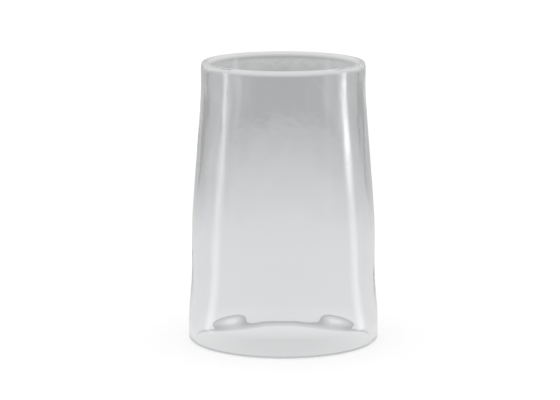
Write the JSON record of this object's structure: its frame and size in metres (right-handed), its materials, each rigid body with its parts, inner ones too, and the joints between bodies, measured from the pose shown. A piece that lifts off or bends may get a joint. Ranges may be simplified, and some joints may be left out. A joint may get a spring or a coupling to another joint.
{
  "type": "glass guitar slide",
  "caption": "Clear glass guitar slide: an open tapered tube with a flared foot and a rounded fire-polished lip, worn on a finger.",
  "frame": {"origin": "middle of the foot's flat ring, on the axis of the bore", "axes": "+Z along the bore, from the wide foot to the narrow lip"},
  "size_m": [0.0286, 0.0284, 0.042],
  "materials": {
    "clear_glass": "clear moulded glass, fire-polished at both ends"
  },
  "bodies": {
    "root": {"glass_slide": "clear_glass"}
  },
  "joints": []
}
